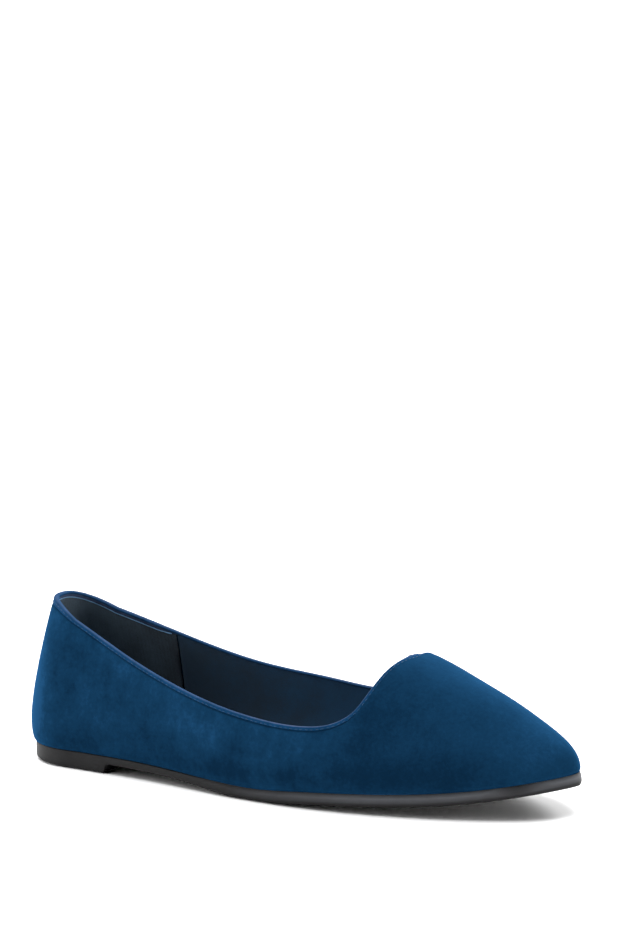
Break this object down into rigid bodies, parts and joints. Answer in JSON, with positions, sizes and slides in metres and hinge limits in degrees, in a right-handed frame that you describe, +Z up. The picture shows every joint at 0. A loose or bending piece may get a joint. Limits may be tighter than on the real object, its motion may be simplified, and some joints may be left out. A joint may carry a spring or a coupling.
{
  "type": "ballet flat",
  "caption": "Right-foot ballet flat: hollow suede upper with a round throat, dipped sides and a folded topline, on a thin rubber sole with toe spring and a low moulded heel.",
  "frame": {"origin": "middle of the shoe's length and width, on the floor that the sole stands on", "axes": "+X from the heel to the toe, +Y to the inner side of the foot, +Z up"},
  "size_m": [0.2586, 0.0782, 0.069],
  "materials": {
    "upper": "matt blue microsuede with a soft nap",
    "topline_binding": "folded strip of the same microsuede",
    "outsole": "satin charcoal moulded rubber",
    "insole": "dark woven sock"
  },
  "bodies": {
    "root": {"upper": "upper", "topline_binding": "topline_binding", "outsole": "outsole", "insole": "insole"}
  },
  "joints": []
}
